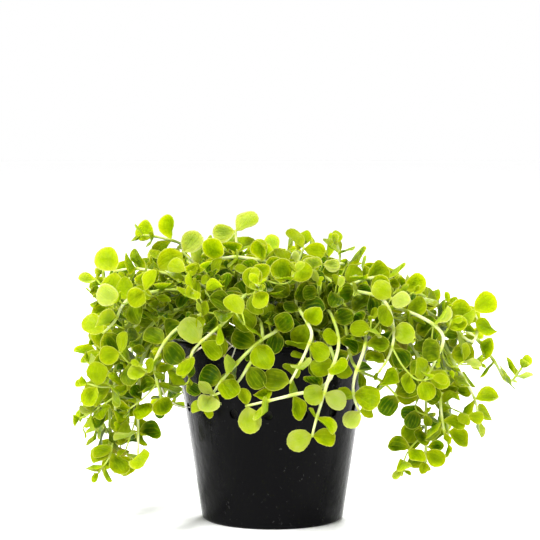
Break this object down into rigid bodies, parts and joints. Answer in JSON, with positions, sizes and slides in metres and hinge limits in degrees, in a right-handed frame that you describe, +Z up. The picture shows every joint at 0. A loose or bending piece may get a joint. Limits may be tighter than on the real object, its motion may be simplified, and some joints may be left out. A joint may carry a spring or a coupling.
{
  "type": "potted baby tears plant",
  "caption": "Bushy trailing houseplant with small round paired leaves on thin stems, rooted in a plug of growing medium in a small tapered plastic pot.",
  "frame": {"origin": "centre of the pot's flat foot, on the surface that it stands on", "axes": "+Z up along the pot's axis, -Y towards the front that the picture shows, +X to the right in the picture"},
  "size_m": [0.1239, 0.106, 0.0836],
  "materials": {
    "pot_plastic": "gloss",
    "medium_fibre": "matte",
    "leaf_green": "satin"
  },
  "bodies": {
    "root": {"pot": "pot_plastic", "growing_medium": "medium_fibre", "stem_twin_leaf": "leaf_green", "stem_folded_leaf": "leaf_green", "stem_arch_over": "leaf_green", "stem_bud": "leaf_green", "stem_left_crown": "leaf_green", "stem_cross_tip": "leaf_green", "stem_left_upper": "leaf_green", "stem_left_mid": "leaf_green", "stem_left_low": "leaf_green", "stem_left_trail": "leaf_green", "stem_left_inner": "leaf_green", "stem_front_long": "leaf_green", "stem_pot_cross_a": "leaf_green", "stem_pot_cross_b": "leaf_green", "stem_pot_cross_c": "leaf_green", "stem_front_mid": "leaf_green", "stem_front_right": "leaf_green", "stem_front_drop": "leaf_green", "stem_right_bar": "leaf_green", "stem_right_mid": "leaf_green", "stem_right_round": "leaf_green", "stem_right_upper": "leaf_green", "stem_right_pair": "leaf_green", "stem_right_trail": "leaf_green", "stem_right_low": "leaf_green", "stem_trailing_01": "leaf_green", "stem_trailing_02": "leaf_green", "stem_trailing_03": "leaf_green", "stem_trailing_04": "leaf_green", "stem_trailing_05": "leaf_green", "stem_trailing_06": "leaf_green", "stem_trailing_07": "leaf_green", "stem_trailing_08": "leaf_green", "stem_trailing_09": "leaf_green", "stem_trailing_10": "leaf_green", "stem_trailing_11": "leaf_green", "stem_trailing_12": "leaf_green", "stem_trailing_13": "leaf_green", "stem_trailing_14": "leaf_green", "stem_trailing_15": "leaf_green", "stem_shoulder_01": "leaf_green", "stem_shoulder_02": "leaf_green", "stem_shoulder_03": "leaf_green", "stem_shoulder_04": "leaf_green", "stem_shoulder_05": "leaf_green", "stem_shoulder_06": "leaf_green", "stem_shoulder_07": "leaf_green", "stem_shoulder_08": "leaf_green", "stem_crown_01": "leaf_green", "stem_crown_02": "leaf_green", "stem_crown_03": "leaf_green", "stem_crown_04": "leaf_green", "stem_crown_05": "leaf_green", "stem_crown_06": "leaf_green", "stem_crown_07": "leaf_green", "stem_crown_08": "leaf_green", "stem_crown_09": "leaf_green", "stem_crown_10": "leaf_green"}
  },
  "joints": []
}
